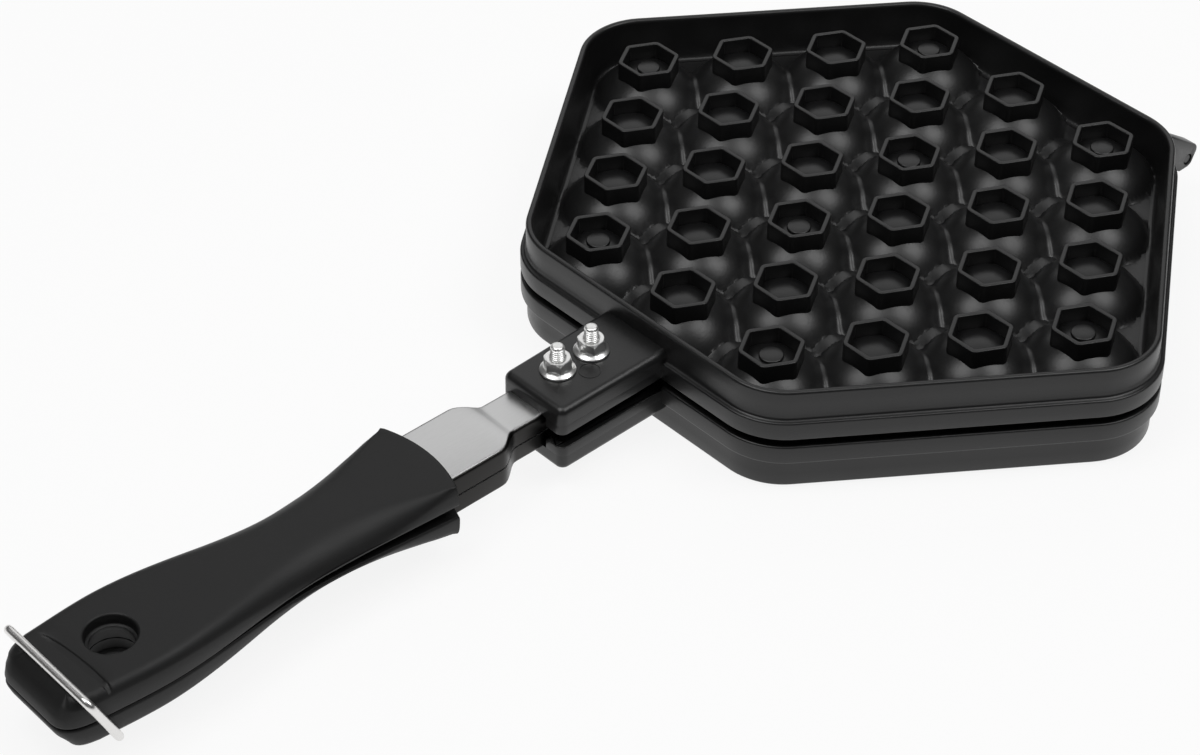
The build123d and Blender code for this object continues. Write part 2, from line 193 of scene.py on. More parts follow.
def solid(name, shells, material, smooth=SMOOTH):
    """An object from closed shells of (points in millimetres, faces), normals outwards."""
    points, faces = merged(*shells)
    mesh = bpy.data.meshes.new(name)
    mesh.from_pydata((points * MM).tolist(), [], faces)
    work = bmesh.new()
    work.from_mesh(mesh)
    bmesh.ops.remove_doubles(work, verts=work.verts, dist=WELD * MM)
    bmesh.ops.recalc_face_normals(work, faces=work.faces)
    work.to_mesh(mesh)
    work.free()
    mesh.materials.append(material)
    obj = bpy.data.objects.new(name, mesh)
    bpy.context.scene.collection.objects.link(obj)
    return shade(obj, smooth)


def shade(obj, angle=SMOOTH):
    """Smooth faces, with sharp edges past an angle in degrees."""
    obj.data.shade_smooth()
    obj.data.set_sharp_from_angle(angle=math.radians(angle))
    return obj


def loft(loops, capped=True, joined=False):
    """Closed shell through loops of equal length; joined links the last loop to the first."""
    loops = [np.asarray(loop, float) for loop in loops]
    count = len(loops[0])
    points = np.concatenate(loops)
    faces = []
    for row in range(len(loops) - (0 if joined else 1)):
        low, high = row * count, ((row + 1) % len(loops)) * count
        for i in range(count):
            j = (i + 1) % count
            faces.append([low + i, low + j, high + j, high + i])
    if capped and not joined:
        faces.append(list(range(count))[::-1])
        faces.append([len(points) - count + i for i in range(count)])
    return points, faces


def ring(angle, radius, height):
    """A level loop about an upright axis, with one radius or one for each angle."""
    return np.column_stack([radius * np.cos(angle), radius * np.sin(angle), np.full(len(angle), height)])


def lathe(profile, centre=(0.0, 0.0), steps=40):
    """Closed shell of a profile of (radius, height) turned about an upright axis."""
    angle = np.linspace(0, 2 * math.pi, steps, endpoint=False)
    return loft([ring(angle, radius, height) + np.array([*centre, 0.0]) for radius, height in profile])


def arc(centre, radius, first, last, steps):
    """Points of an arc between two angles in degrees."""
    angle = np.radians(np.linspace(first, last, steps))
    return np.stack([centre[0] + radius * np.cos(angle), centre[1] + radius * np.sin(angle)], 1)


def inward_of(loop):
    """The inward direction at each point of a loop that runs anticlockwise."""
    step = np.roll(loop, -1, 0) - np.roll(loop, 1, 0)
    step /= np.linalg.norm(step, axis=1)[:, None]
    return np.stack([-step[:, 1], step[:, 0]], 1)


def rounded_outline(corners, radius, arc_steps=10, spacing=2.0, extras=()):
    """Points round a polygon with rounded corners, and their outward directions.

    The side that faces the handle has further points at the extra places along Y.
    """
    points, normals = [], []
    count = len(corners)
    for i, corner in enumerate(corners):
        before = np.array(corners[i - 1]) - corner
        after = np.array(corners[(i + 1) % count]) - corner
        before, after = before / np.linalg.norm(before), after / np.linalg.norm(after)
        inside = before + after
        half = math.acos(np.clip(before @ after, -1, 1)) / 2
        centre = corner + inside / np.linalg.norm(inside) * radius / math.sin(half)
        first = np.array([before[1], -before[0]])
        last = np.array([-after[1], after[0]])
        if first @ inside > 0:
            first, last = -first, -last
        start = math.atan2(first[1], first[0])
        turn = (math.atan2(last[1], last[0]) - start + math.pi) % (2 * math.pi) - math.pi
        for step in range(arc_steps + 1):
            a = start + turn * step / arc_steps
            normal = np.array([math.cos(a), math.sin(a)])
            points.append(centre + radius * normal)
            normals.append(normal)
    out_points, out_normals = [], []
    total = len(points)
    for i in range(total):
        a, b = points[i], points[(i + 1) % total]
        out_points.append(a)
        out_normals.append(normals[i])
        if (i + 1) % (arc_steps + 1):
            continue
        span = np.linalg.norm(b - a)
        stops = set(np.linspace(0, 1, max(2, int(span / spacing)) + 1)[1:-1])
        beside_handle = abs(a[0] - b[0]) < 1e-6 and a[0] < 0
        for y in extras:
            if beside_handle and min(a[1], b[1]) < y < max(a[1], b[1]):
                stops.add((y - a[1]) / (b[1] - a[1]))
        for s in sorted(stops):
            out_points.append(a + (b - a) * s)
            out_normals.append(normals[i])
    return np.array(out_points), np.array(out_normals)


# ---------------------------------------------------------------- castings

DOME_RADII = (2.5, 5.0, 7.2, 9.4, 11.0, 12.6, 13.9, 14.9, 15.6, 16.1, 16.6, 17.2, 18.4)
CELL_RADII = (3.0, 6.0, 8.6, 10.6, 12.0, 12.9, 13.4, 13.66, 14.1, 15.4)
# (distance outside the rim's outer face, height): inner wall, top and outer wall, then flange and lip
RIM_PROFILE = (
    (-5.5, 2.6), (-4.9, 2.65), (-4.4, 2.85), (-4.0, 3.25), (-3.75, 3.8), (-3.55, 4.6), (-3.25, 6.5),
    (-2.75, 9.5), (-2.35, 12.5), (-2.05, 15.1), (-2.0, 15.6), (-1.85, 16.0), (-1.6, 16.27), (-1.25, 16.4),
    (-0.75, 16.4), (-0.4, 16.3), (-0.12, 16.02), (0.0, 15.6), (0.0, 12.0), (0.0, 8.6), (0.05, 8.0),
    (0.25, 7.45),
)
FLANGE_PROFILE = (
    (0.6, 7.16), (1.15, 7.1), (1.45, 7.02), (1.64, 6.8), (1.7, 6.45), (1.7, 4.0), (1.7, 1.85), (1.62, 1.5),
    (1.42, 1.27), (1.1, 1.2), (-1.0, 1.2), (-2.7, 1.2), (-2.95, 1.1), (-3.0, 0.9), (-3.0, 0.4), (-3.1, 0.2),
    (-3.4, 0.15), (-5.5, 0.15), (-5.9, 0.25), (-6.0, 0.5),
)
INNER_EDGE = -6.3
WALL_INSIDE = -2.9  # further in than this, a profile follows the domes or the cells
TAB_RELIEF = 12.0  # half the width of the break that the flange has for the tab
FACE_STEP = 0.6  # from the parting plane to the face between the cells
LONGEST_ROW = 6
OUTER_ROW = 3
LONG_WEB, SHORT_WEB = 1.8, 0.6  # half the thickness of the webs along a row and between rows
WEB_SHOULDER = 0.6
DOME_BLEND, WEB_BLEND = 0.5, 0.3
SAMPLE_STEP = 1.55
WEB_FOOT = 0.45  # from a web's side to the line of points beside it
OPEN_FLOOR = 19.2  # further than this from every cell, the floor has a plain grid of points


def smooth_max(a, b, blend):
    overlap = np.maximum(blend - np.abs(a - b), 0.0) / blend
    return np.maximum(a, b) + overlap * overlap * blend / 4


class CellField:
    """Where the cells are, and the heights of the domes and cells at any place."""

    def __init__(self, sizes):
        self.pitch, self.row = mm(sizes.cell_pitch), mm(sizes.row_pitch)
        self.radius, self.centre = mm(sizes.dome_radius), -mm(sizes.dome_depth)
        self.floor = mm(sizes.floor)
        self.inner = self.radius - mm(sizes.shell)
        self.rows = {}
        for k in range(-OUTER_ROW, OUTER_ROW + 1):
            count = LONGEST_ROW - abs(k)
            self.rows[k] = [(k * self.row, (j - (count - 1) / 2) * self.pitch) for j in range(count)]
        self.cells = np.array([cell for k in sorted(self.rows) for cell in self.rows[k]])
        diagonal = math.hypot(self.row, self.pitch / 2)
        self.pairs = []
        for i in range(len(self.cells)):
            for j in range(i + 1, len(self.cells)):
                gap = np.linalg.norm(self.cells[i] - self.cells[j])
                if abs(gap - diagonal) < 0.1 or abs(gap - self.pitch) < 0.1:
                    web = SHORT_WEB if abs(gap - diagonal) < 0.1 else LONG_WEB
                    along = (self.cells[j] - self.cells[i]) / gap
                    self.pairs.append(((self.cells[i] + self.cells[j]) / 2, along, gap, web))

    def distances(self, xy):
        return np.linalg.norm(xy[:, None, :] - self.cells[None, :, :], axis=2)

    def dome_heights(self, xy):
        near = self.distances(xy).min(1)
        dome = self.centre + np.sqrt(np.maximum(self.radius**2 - near**2, 0.0))
        height = smooth_max(np.full(len(xy), self.floor), dome, DOME_BLEND)
        web_height = np.full(len(xy), -50.0)
        for middle, along, gap, web in self.pairs:
            t = (xy - middle) @ along
            s = (xy - middle) @ np.array([-along[1], along[0]])
            reach = math.sqrt(self.radius**2 - (gap / 2 - web) ** 2)
            inside = (np.abs(t) < web + WEB_SHOULDER) & (np.abs(s) < reach)
            value = self.centre + np.sqrt(np.maximum(reach**2 - s**2, 0.0))
            web_height = np.where(inside, np.maximum(web_height, value), web_height)
        return smooth_max(height, web_height, WEB_BLEND)

    def cell_heights(self, xy, base):
        near = self.distances(xy).min(1)
        cell = self.centre + np.sqrt(np.maximum(self.inner**2 - near**2, 0.0))
        return np.maximum(base, cell)

    def samples(self, radii, webs):
        """Places for mesh points: rings round each cell, and lines along the webs between them."""
        found = []
        clear = 1.9 if webs else 0.3
        for i, cell in enumerate(self.cells):
            found.append(cell[None, :])
            for n, radius in enumerate(radii):
                count = int(np.clip(round(2 * math.pi * radius / SAMPLE_STEP), 10, 64))
                angle = (np.arange(count) + 0.5 * (n % 2)) * 2 * math.pi / count
                circle = cell + radius * np.stack([np.cos(angle), np.sin(angle)], 1)
                gaps = self.distances(circle)
                own = gaps[:, i].copy()
                gaps[:, i] = 1e9
                found.append(circle[gaps.min(1) - own > clear])
        if webs:
            for middle, along, gap, web in self.pairs:
                side = np.array([-along[1], along[0]])
                for t in (0.0, -web, web, -web - WEB_FOOT, web + WEB_FOOT):
                    s = np.arange(-11.6, 11.7, 1.16)
                    line = middle + t * along + s[:, None] * side
                    two = np.sort(self.distances(line), axis=1)
                    own = np.linalg.norm(line - middle - along * gap / 2, axis=1)
                    other = np.linalg.norm(line - middle + along * gap / 2, axis=1)
                    nearest = two[:, 0] > np.minimum(own, other) - 0.01
                    found.append(line[nearest & (two[:, 2] > np.maximum(own, other) + 0.3)])
            x, y = np.meshgrid(np.arange(-90, 90, 2.3), np.arange(-110, 110, 2.3))
            grid = np.stack([x.ravel(), y.ravel()], 1)
            found.append(grid[self.distances(grid).min(1) > OPEN_FLOOR])
        return np.concatenate(found)


def skin(edge, inside, height):
    """Triangles over the places inside an edge loop, lifted to a height, and the loop's own points."""
    loop = [(i, (i + 1) % len(edge)) for i in range(len(edge))]
    places = [tuple(place) for place in np.concatenate([edge, inside])]
    points, _, faces, _, _, _ = delaunay_2d_cdt(places, loop, [], 1, 1e-5)
    flat = np.array([tuple(point) for point in points])
    return np.column_stack([flat, height(flat)]), [list(face) for face in faces]


def within(places, points, normals, margin):
    """The places that lie inside a convex outline by a margin."""
    depth = ((places[:, None, :] - points[None, :, :]) * normals[None, :, :]).sum(2).max(1)
    return places[depth < -margin]


def rim_outline(field, sizes):
    """Points round the rim's outer face: a hexagon whose slanting sides lie along the rows of cells."""
    outline_x, reach = mm(sizes.rim_x), mm(sizes.rim_diagonal)
    diagonal = math.hypot(field.row, field.pitch / 2)
    nx, ny = field.pitch / 2 / diagonal, field.row / diagonal
    side, tip = (reach - outline_x * nx) / ny, reach / ny
    corners = [
        (outline_x, -side), (outline_x, side), (0, tip), (-outline_x, side), (-outline_x, -side), (0, -tip)
    ]
    extras = [side * (TAB_RELIEF + step) for side in (-1, 1) for step in (-0.2, 0.2)]
    corners = [np.array(corner, float) for corner in corners]
    return rounded_outline(corners, mm(sizes.rim_corner), 14, 2.2, extras)


def casting_shell(sizes):
    """One half's casting without tab and hinge: domes, rim, flange and cells as one closed shell."""
    field = CellField(sizes)
    points, normals = rim_outline(field, sizes)
    beside_tab = (points[:, 0] < 0) & (np.abs(points[:, 1]) < TAB_RELIEF)
    loops = []
    for distance, height in RIM_PROFILE:
        xy = points + normals * distance
        level = np.full(len(xy), height)
        if distance < WALL_INSIDE:
            level = smooth_max(level, field.dome_heights(xy), DOME_BLEND)
        loops.append(np.column_stack([xy, level]))
    for distance, height in FLANGE_PROFILE:
        xy = points + normals * np.where(beside_tab & (distance > 0), 0.0, distance)[:, None]
        level = np.full(len(xy), height)
        if distance < WALL_INSIDE:
            level = field.cell_heights(xy, level)
        loops.append(np.column_stack([xy, level]))

    def cell_side(xy):
        return field.cell_heights(xy, np.full(len(xy), FACE_STEP))

    inner = points + normals * INNER_EDGE
    loops.append(np.column_stack([inner, cell_side(inner)]))
    first = points + normals * RIM_PROFILE[0][0]
    outside = within(field.samples(DOME_RADII, True), first, normals, 0.7)
    hollow = within(field.samples(CELL_RADII, False), inner, normals, 0.5)
    return merged(
        loft(loops, capped=False), skin(first, outside, field.dome_heights), skin(inner, hollow, cell_side)
    )


def plate(corners, radii, low, high, top_edge, foot_edge, arc_steps=6):
    """Closed shell of a flat plate whose corners and upper and lower edges are rounded."""
    points, normals = [], []
    corners = [np.array(corner, float) for corner in corners]
    for i, radius in enumerate(radii):
        single, single_normals = rounded_outline(corners, radius, arc_steps, 1e9)
        block = slice(i * (arc_steps + 2), i * (arc_steps + 2) + arc_steps + 1)
        points.append(single[block])
        normals.append(single_normals[block])
    points, normals = np.concatenate(points), np.concatenate(normals)
    bend = np.radians(np.linspace(0, 90, 5))
    steps = [(foot_edge * (1 - math.sin(a)), low + foot_edge * (1 - math.cos(a))) for a in bend]
    steps += [(top_edge * (1 - math.cos(a)), high - top_edge * (1 - math.sin(a))) for a in bend]
    return loft([np.column_stack([points - normals * inset, np.full(len(points), z)]) for inset, z in steps])


TAB_ROOT = 1.5  # how far the tab reaches into the rim
TAB_OVER = 0.8  # how much further out the tab's end is than the casting's own
TAB_WIDE, TAB_NARROW = 12.4, 11.9  # half its width at the rim and at its end
TAB_CORNER = 2.45
TAB_EDGE = 2.3
SKIRT_INSIDE, SKIRT_LOW, SKIRT_TOP = 9.4, 2.2, 5.3
SKIRT_RETURN = 3.8  # how far the skirt turns in across the tab's end, at one side
SKIRT_WALL = 2.6
SHARP = 0.05
MARK_AT = (16.7, -4.0)  # the ejector mark, from the middle of the tab's end


def tab_shell(rim_x):
    """The tab that the neck is bolted under: a soft-edged top, skirts beside the neck, an ejector mark."""
    root, end = TAB_ROOT - rim_x, TAB_X - TAB_OVER
    bend = np.radians(np.linspace(0, 90, 8))
    steps = [(TAB_EDGE * (1 - math.cos(a)), TAB_TOP - TAB_EDGE * (1 - math.sin(a))) for a in bend]
    loops = []
    for inset, height in [(0.0, SKIRT_TOP), *steps]:
        radius = TAB_CORNER - inset * 0.7
        x, y = end + inset + radius, TAB_NARROW - inset - radius
        loop = [(root, inset - TAB_WIDE), (root, TAB_WIDE - inset)]
        loop += [*arc((x, y), radius, 90, 180, 8), *arc((x, -y), radius, 180, 270, 8)]
        loops.append([(*place, height) for place in loop])
    skirts = [
        ([(root, SKIRT_INSIDE), (root, TAB_WIDE), (end, TAB_NARROW), (end, SKIRT_INSIDE)], 2),
        ([(root, -TAB_WIDE), (root, -SKIRT_INSIDE), (end, -SKIRT_INSIDE), (end, -TAB_NARROW)], 3),
        ([(end + SKIRT_WALL, -SKIRT_INSIDE), (end + SKIRT_WALL, SKIRT_RETURN - SKIRT_INSIDE),
          (end, SKIRT_RETURN - SKIRT_INSIDE), (end, -SKIRT_INSIDE)], None),
    ]
    shells = [loft(loops)]
    for corners, outer in skirts:
        radii = [TAB_CORNER if i == outer else SHARP for i in range(4)]
        shells.append(plate(corners, radii, SKIRT_LOW, SKIRT_TOP, 0.02, 0.25))
    mark = [(2.75, -0.2), (2.85, 0.12), (3.0, 0.14), (3.12, 0.1), (3.2, -0.2)]
    mark = [(radius, TAB_TOP + height) for radius, height in mark]
    shells.append(lathe(mark, (TAB_X + MARK_AT[0], MARK_AT[1])))
    return shells


def bored_plate(outline, hole, radius, low, high, edge):
    """Closed shell of a flat plate with rounded edges, standing across Y, with a round bore through it."""
    inward = inward_of(outline)
    bore = arc((0.0, 0.0), 1.0, 0, 360, 29)[:-1]
    steps = [
        (edge, low, 0.3), (edge * 0.3, low + edge * 0.3, 0.08), (0.0, low + edge, 0.0),
        (0.0, high - edge, 0.0), (edge * 0.3, high - edge * 0.3, 0.08), (edge, high, 0.3),
    ]
    rims, rings = [], []
    for inset, y, widen in steps:
        rims.append(stood(outline + inward * inset, y))
        rings.append(stood(hole + bore * (radius + widen), y))
    parts = [loft(rims, capped=False), loft(rings, capped=False)]
    for step in (0, -1):
        flat, cap = face_between(rims[step][:, [0, 2]], [rings[step][:, [0, 2]]])
        parts.append((stood(flat, steps[step][1]), cap))
    return merged(*parts)


def stood(flat, y):
    """A flat outline, stood up across Y."""
    return np.column_stack([flat[:, 0], np.full(len(flat), y), flat[:, 1]])


def face_between(edge, holes=(), inside=()):
    """Triangles inside an edge loop and outside the round hole loops, with further points inside."""
    points = [edge, *holes] + ([np.asarray(inside)] if len(inside) else [])
    loops, start = [], 0
    for loop in (edge, *holes):
        loops += [(start + i, start + (i + 1) % len(loop)) for i in range(len(loop))]
        start += len(loop)
    places = [tuple(place) for place in np.concatenate(points)]
    flat, _, faces, _, _, _ = delaunay_2d_cdt(places, loops, [], 1, 1e-6)
    flat = np.array([tuple(point) for point in flat])
    kept = []
    for face in faces:
        centre = flat[list(face)].mean(0)
        away = [
            np.linalg.norm(centre - hole.mean(0)) / np.linalg.norm(hole[0] - hole.mean(0)) for hole in holes
        ]
        if all(share > 0.99 for share in away):
            kept.append(list(face))
    return flat, kept


EAR_SLOPE = 55.0  # degrees from level at which the ear's upper side starts
EAR_EDGE = 0.45
PIN_BORE = 1.7


def ear_shell(rim_x, y, width):
    """One hinge ear: a web sloping down from the rim, rounded about the pin, with its bore."""
    outline = [
        [(rim_x - 1.4, 1.2)],
        arc((HINGE_X - 3.0, -1.9), 1.0, 200, 270, 6),
        arc((HINGE_X, 0.0), 2.9, 272, 318, 6),
        arc((HINGE_X + 1.5, 2.2), 2.4, 325, 360 + EAR_SLOPE, 12),
        [(rim_x + 0.4, 13.0), (rim_x - 1.4, 13.2)],
    ]
    hole = np.array([HINGE_X, 0.0])
    return bored_plate(np.concatenate(outline), hole, PIN_BORE, y - width / 2, y + width / 2, EAR_EDGE)


# ---------------------------------------------------------------- necks and grips

# (place along the straight handle, share of the flare in the width, height of the top)
NECK_STATIONS = (
    (-92.1, 0.0, 5.8), (-133.6, 0.0, 5.8), (-134.4, 0.0182, 5.82), (-135.2, 0.0795, 5.95),
    (-136.2, 0.2159, 6.2), (-137.4, 0.4318, 6.42), (-138.6, 0.6477, 6.5), (-139.8, 0.8409, 6.5),
    (-140.8, 0.95, 6.5), (-141.8, 0.9909, 6.5), (-142.8, 1.0, 6.5), (-165.9, 1.0, 6.5),
    (-170.9, 0.1136, 6.5), (-224.9, 0.1136, 6.5),
)
NECK_FOOT = 0.3
NECK_BEND = 1.25


def neck_shell(sizes):
    """Folded steel channel: a level top, soft bends and two side walls."""
    sheet, narrow, wide = mm(sizes.sheet), mm(sizes.neck_width) / 2, mm(sizes.neck_flare) / 2
    loops = []
    for x, share, top in NECK_STATIONS:
        half = narrow + (wide - narrow) * share
        bend, level = half - NECK_BEND, top - NECK_BEND
        section = [
            [(-half, NECK_FOOT)], arc((-bend, level), NECK_BEND, 180, 90, 6),
            arc((bend, level), NECK_BEND, 90, 0, 6), [(half, NECK_FOOT)],
            [(half - sheet, NECK_FOOT)], arc((bend, level), NECK_BEND - sheet, 0, 90, 3),
            arc((-bend, level), NECK_BEND - sheet, 90, 180, 3), [(sheet - half, NECK_FOOT)],
        ]
        loops.append([(x, y, z) for y, z in np.concatenate(section)])
    points, faces = loft(loops, capped=False)
    _, cap = face_between(np.array(loops[0])[:, 1:])
    last = len(points) - len(loops[0])
    return points, faces + cap + [[last + i for i in face] for face in cap]


GRIP_FRONT, GRIP_END = -154.9, -283.0
FRONT_CORNER, FRONT_BOW = -160.9, 3.2
WAIST_X, BELLY_X, TAIL_X = -204.9, -254.9, -273.9
TAIL_FLAT = 8.4  # half the width of the tail's straight end
CROWN = 8.1  # height of the grip's top at the tail
# (place, how wide the side facet is)
GRIP_FACETS = (
    (-154.9, 0.9), (-163.0, 1.6), (-172.0, 4.4), (-184.0, 7.6), (-200.0, 8.8), (-216.0, 7.2), (-232.0, 4.8),
    (-250.0, 3.3), (-262.0, 2.9), (-283.0, 2.9),
)
# (place, height of the top)
GRIP_TOPS = (
    (-154.9, 8.4), (-170.0, 8.0), (-190.0, 7.68), (-204.9, 7.6), (-225.0, 7.75), (-245.0, 8.02),
    (-254.9, CROWN), (-283.0, CROWN),
)
# (share of the facet's width, share of its height): the rounded facet between side and top
FACET_SHAPE = ((0.05, 0.14), (0.14, 0.32), (0.28, 0.54), (0.46, 0.74), (0.66, 0.89), (0.84, 0.97), (1.0, 1.0))
# a facet starts at FACET_LOW where it is FACET_LEAST wide, and lower where it is wider
FACET_LOW, FACET_DROP, FACET_LEAST, FACET_RANGE = 5.6, 4.0, 2.9, 6.0
GAP_FRONT, GAP_END, GAP_CLOSES = 1.9, 0.15, -238.9
NOSE_RADIUS = 16.9
GROOVE_X, GROOVE_Y, GROOVE_SKEW = -270.8, -3.0, 0.064
GROOVE_WIDTH, GROOVE_REACH = 2.9, 14.5
# (share of the groove's width, depth)
GROOVE_SHAPE = ((0.0, 0.0), (0.1, 0.8), (0.3, 0.75), (0.72, 0.55), (0.8, 0.2), (1.0, 0.0))
SEAT_RADIUS = 1.35
HOLE_X = -258.3
# (how much wider than the hole, height), down through the hanging hole and past its ledge
HOLE_STEPS = (
    (0.65, CROWN), (0.3, CROWN - 0.12), (0.1, CROWN - 0.4), (0.0, CROWN - 0.9), (0.0, 5.3), (-0.15, 5.1),
    (-0.75, 5.0), (-0.9, 4.85), (-0.9, 3.9), (-0.75, 3.7), (-0.15, 3.6), (0.0, 3.4), (0.0, GAP_END),
)


def along(table, x):
    """A smooth reading of a table of (place, value), for places that fall."""
    places = np.array([row[0] for row in table])[::-1]
    values = np.array([row[1] for row in table])[::-1]
    slopes = np.gradient(values, places)
    x = np.clip(x, places[0], places[-1])
    i = np.clip(np.searchsorted(places, x) - 1, 0, len(places) - 2)
    step = places[i + 1] - places[i]
    t = (x - places[i]) / step
    a, b = 2 * t**3 - 3 * t**2 + 1, t**3 - 2 * t**2 + t
    c, d = -2 * t**3 + 3 * t**2, t**3 - t**2
    return a * values[i] + b * step * slopes[i] + c * values[i + 1] + d * step * slopes[i + 1]


def grip_outline(sizes):
    """Points round a grip on the parting plane, with their inward directions."""
    across = (sizes.grip_front, sizes.grip_waist, sizes.grip_belly, sizes.grip_tail)
    widths = [mm(value) / 2 for value in across]
    table = list(zip((FRONT_CORNER, WAIST_X, BELLY_X, TAIL_X), widths))
    front = [(FRONT_CORNER + FRONT_BOW * (1 - t**2), widths[0] * t) for t in np.linspace(0, 1, 12)]
    places = [*np.linspace(FRONT_CORNER, TAIL_X, 66), *np.arange(TAIL_X + 0.3, -265.6, 0.55)]
    places += [*(PIVOT_X + np.linspace(-1.37, 1.37, 11))]
    side = [(x, float(along(table, np.array(x)))) for x in sorted(set(places), reverse=True)]
    controls = np.array([side[-1], (-279.4, widths[-1] - 0.8), (GRIP_END, 13.6), (GRIP_END, TAIL_FLAT)])
    t = np.linspace(0, 1, 15)[1:, None]
    curve = np.hstack([(1 - t) ** 3, 3 * t * (1 - t) ** 2, 3 * t**2 * (1 - t), t**3]) @ controls
    end = [(GRIP_END, y) for y in np.linspace(TAIL_FLAT, 0, 7)[1:]]
    half = front[1:-1] + side + [tuple(place) for place in curve] + end[:-1]
    loop = np.array(front[:1] + half + end[-1:] + [(x, -y) for x, y in half[::-1]])
    return loop, inward_of(loop)


def gap_height(x):
    """Height of a grip's lower face: the gap between the grips closes towards the tail."""
    share = np.clip((x - GAP_CLOSES) / (GRIP_FRONT - GAP_CLOSES), 0, 1)
    return GAP_END + (GAP_FRONT - GAP_END) * share


def groove_width(y, least=0.0):
    return GROOVE_WIDTH * np.sqrt(np.clip(1 - ((y - GROOVE_Y) / GROOVE_REACH) ** 2, least, 1))


def groove(x, y, height):
    """How deep the lens-shaped thumb groove is at a place on the grip."""
    width = groove_width(y) + 0.01
    share = (x - GROOVE_X + GROOVE_SKEW * y) / width
    depth = np.interp(share, *zip(*GROOVE_SHAPE), left=0.0, right=0.0)
    return depth * np.clip(width / 2.0, 0, 1) * np.clip((height - 6.4) / 1.2, 0, 1)


def seat(x, height):
    """Height under the round seat that the ring's bar lies in."""
    off = np.abs(x - PIVOT_X)
    floor = PIVOT_DEPTH - np.sqrt(np.clip(SEAT_RADIUS**2 - off**2, 0, None))
    return np.where(off < SEAT_RADIUS, np.minimum(height, floor), height)


def cut_down(x, y, height, seated):
    """A height on the grip less the ring's seat, or less the thumb groove."""
    return seat(x, height) if seated else height - groove(x, y, height)


def grip_wall(outline, inward, seated):
    """Loops up a grip's side: a soft lower edge, a wide rounded facet, and a round nose at the tail."""
    x = outline[:, 0]
    facet, top, low = along(GRIP_FACETS, x), along(GRIP_TOPS, x), gap_height(x)
    start = (FACET_LOW - FACET_DROP * np.clip((facet - FACET_LEAST) / FACET_RANGE, 0, 1)) * top / CROWN
    levels = [(0.45, low), (0.12, low + 0.3), (0.0, low + 0.9)]
    levels += [(0.06, low + (start - low) * 0.6), (0.2, start)]
    levels += [(0.2 + (facet - 0.2) * wide, start + (top - start) * rise) for wide, rise in FACET_SHAPE]
    side, tail, front = inward[:, 1] ** 2, np.clip(inward[:, 0], 0, 1) ** 2, np.clip(-inward[:, 0], 0, 1) ** 2
    foot_levels, round_from = 3, 7
    loops = []
    for n, (inset, height) in enumerate(levels):
        foot = inset if n < foot_levels else 0.0
        share = max(0, n - round_from) / (len(levels) - 1 - round_from)
        nose = PIVOT_X - np.sqrt(NOSE_RADIUS**2 - (height + PIVOT_DEPTH) ** 2) - GRIP_END
        nose = np.maximum(nose, foot) + 0.5 * share**2
        edge = foot + 1.3 * (1 - math.sqrt(1 - share**2))
        place = outline + inward * (inset * side + nose * tail + edge * front)[:, None]
        loops.append(np.column_stack([place, cut_down(place[:, 0], place[:, 1], height, seated)]))
    return loops


def grip_places(rim, inward, seated):
    """Places for mesh points on a grip's top, close together where the seat or the groove is."""
    coarse_x = np.concatenate([np.arange(-280, -272.4, 1.6), np.arange(-265, -156, 2.2)])
    coarse = np.meshgrid(coarse_x, np.arange(-15, 15.1, 1.8))
    if seated:
        reach = SEAT_RADIUS + 0.02
        off, y = np.meshgrid(np.linspace(-reach, reach, 15), np.arange(-16.5, 17, 1.5))
        fine = (PIVOT_X + off, y)
    else:
        share, y = np.meshgrid(np.arange(0.0, 1.01, 0.05), np.arange(-16.5, 13.1, 0.75))
        fine = (GROOVE_X - GROOVE_SKEW * y + share * groove_width(y, 0.01), y)
    inside = np.concatenate([np.stack([x.ravel(), y.ravel()], 1) for x, y in (coarse, fine)])
    gaps = np.linalg.norm(inside[:, None, :] - rim[None, :, :], axis=2)
    nearest = gaps.argmin(1)
    depth = ((inside - rim[nearest]) * inward[nearest]).sum(1)
    from_hole = np.linalg.norm(inside - np.array([HOLE_X, 0.0]), axis=1)
    return inside[(depth > 0.5) & (gaps.min(1) > 0.45) & (from_hole > 8.2)]


def lid(loop, hole, height, inside=()):
    """The face between a loop and a hole, at a height for each place; the loop keeps its own heights."""
    flat, faces = face_between(loop[:, :2], [hole[:, :2]], inside)
    sheet = np.column_stack([flat, height(flat[:, 0], flat[:, 1])])
    gaps = np.linalg.norm(flat[:, None, :] - loop[None, :, :2], axis=2)
    edge = gaps.min(1) < 1e-3
    sheet[edge, 2] = loop[gaps.argmin(1)[edge], 2]
    return sheet, faces


def grip_shell(sizes, seated):
    """One grip: side facets, round nose, the hanging hole, and the ring's seat or the thumb groove."""
    outline, inward = grip_outline(sizes)
    loops = grip_wall(outline, inward, seated)
    angle = np.linspace(0, 2 * math.pi, 40, endpoint=False)
    hole = np.array([HOLE_X, 0.0, 0.0])
    rings = [ring(angle, mm(sizes.hole) / 2 + wider, z) + hole for wider, z in HOLE_STEPS]
    places = grip_places(loops[-1][:, :2], inward, seated)
    top = lid(loops[-1], rings[0], lambda x, y: cut_down(x, y, along(GRIP_TOPS, x), seated), places)
    under = lid(loops[0], rings[-1], lambda x, y: gap_height(x))
    return merged(loft(loops, capped=False), loft(rings, capped=False), top, under)


# ---------------------------------------------------------------- fasteners

NUT_SEGMENTS = 72
NUT_FLATS, NUT_WAIST = 7.0, 3.2
NUT_CORNER, HEAD_CORNER = 3.97, 3.98
# (height, radius): the coned flange, as far as it stands out past the hexagon
NUT_FLANGE = (
    (0.0, 4.75), (0.12, 4.95), (0.35, 5.0), (0.62, 4.93), (0.85, 4.65), (1.1, 4.25), (1.38, 3.9),
    (1.75, 3.62), (2.1, 3.3), (2.5, 3.0),
)
